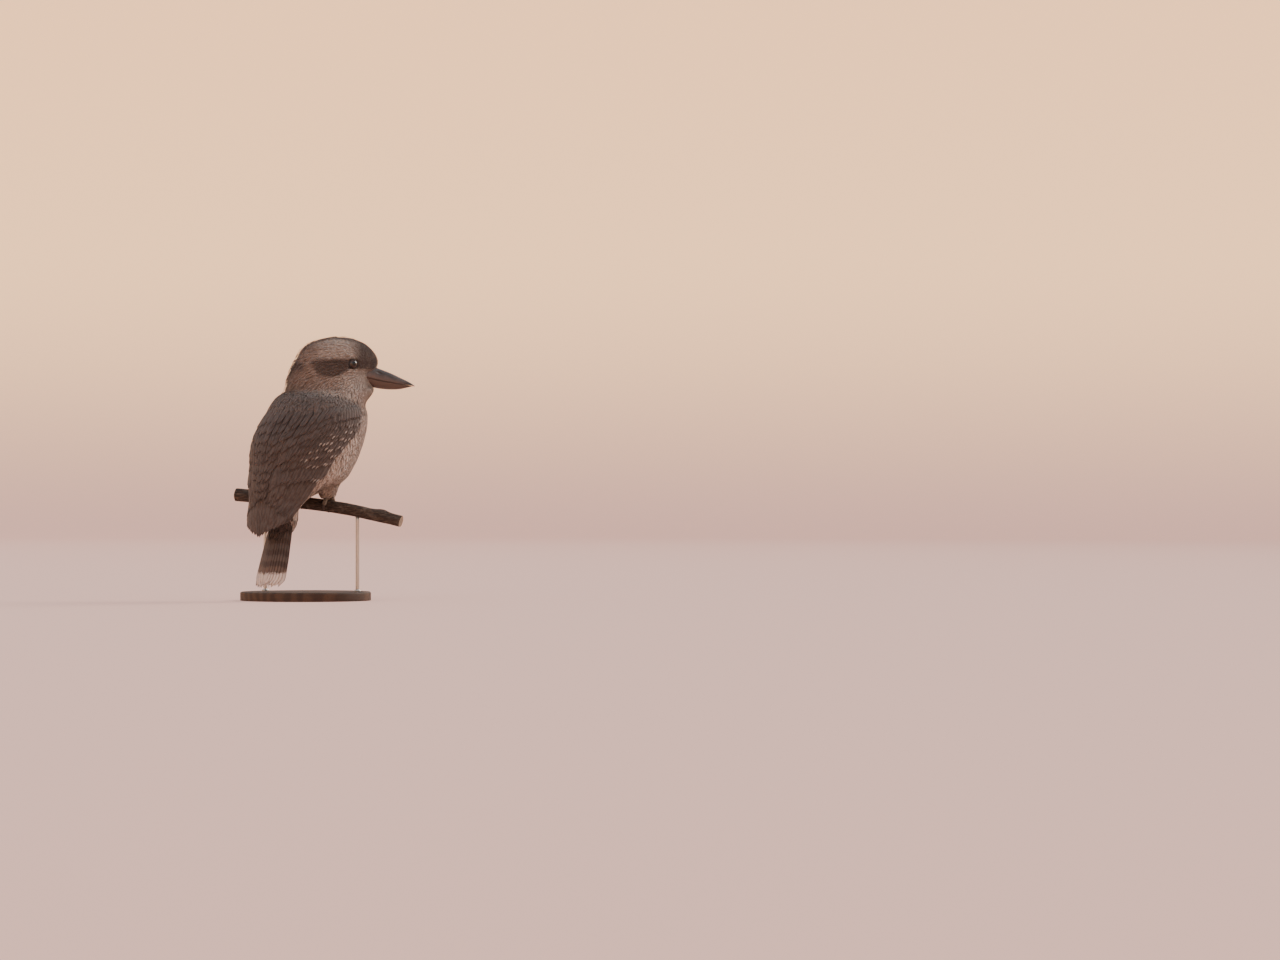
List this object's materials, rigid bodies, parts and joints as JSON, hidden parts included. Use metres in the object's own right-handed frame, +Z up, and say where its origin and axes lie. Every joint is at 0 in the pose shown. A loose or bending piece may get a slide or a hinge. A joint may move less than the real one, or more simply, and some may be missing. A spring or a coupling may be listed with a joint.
{
  "type": "laughing kookaburra",
  "caption": "Life-size still model of a laughing kookaburra perched upright on a cut length of branch, head turned to its right, on a display stand.",
  "frame": {"origin": "centre of the underside of the display base", "axes": "+Z up, +X the way the body faces, +Y its left"},
  "size_m": [0.2251, 0.2211, 0.3559],
  "materials": {
    "pale_down": "soft pale buff and off-white body feathers with faint scaling",
    "head_feathers": "off-white head feathers with a dark mask, a brown crown and dark streaks",
    "brown_vanes": "dark brown wing and back feathers, pale blue spots on the coverts",
    "barred_vanes": "rufous-brown tail feathers with dark bars and whitish tips",
    "dark_horn": "dark grey-brown horn, smooth, satin",
    "pale_horn": "pale yellow-brown horn, satin",
    "eye": "dark brown, wet gloss",
    "scaled_skin": "olive-brown scaled skin with dark claws",
    "bark": "rough weathered brown-grey bark with pale cut ends",
    "base_wood": "dark stained wood, satin",
    "rod_steel": "brushed"
  },
  "bodies": {
    "root": {"torso": "pale_down", "neck": "pale_down", "head": "head_feathers", "bill_upper": "dark_horn", "bill_lower": "pale_horn", "eye_left": "eye", "eye_right": "eye", "wing_left": "brown_vanes", "wing_right": "brown_vanes", "tail": "barred_vanes", "leg_left": "pale_down", "leg_right": "pale_down", "foot_left": "scaled_skin", "foot_right": "scaled_skin", "perch": "bark", "stand_base": "base_wood", "stand_rod_1": "rod_steel", "stand_rod_2": "rod_steel"}
  },
  "joints": []
}
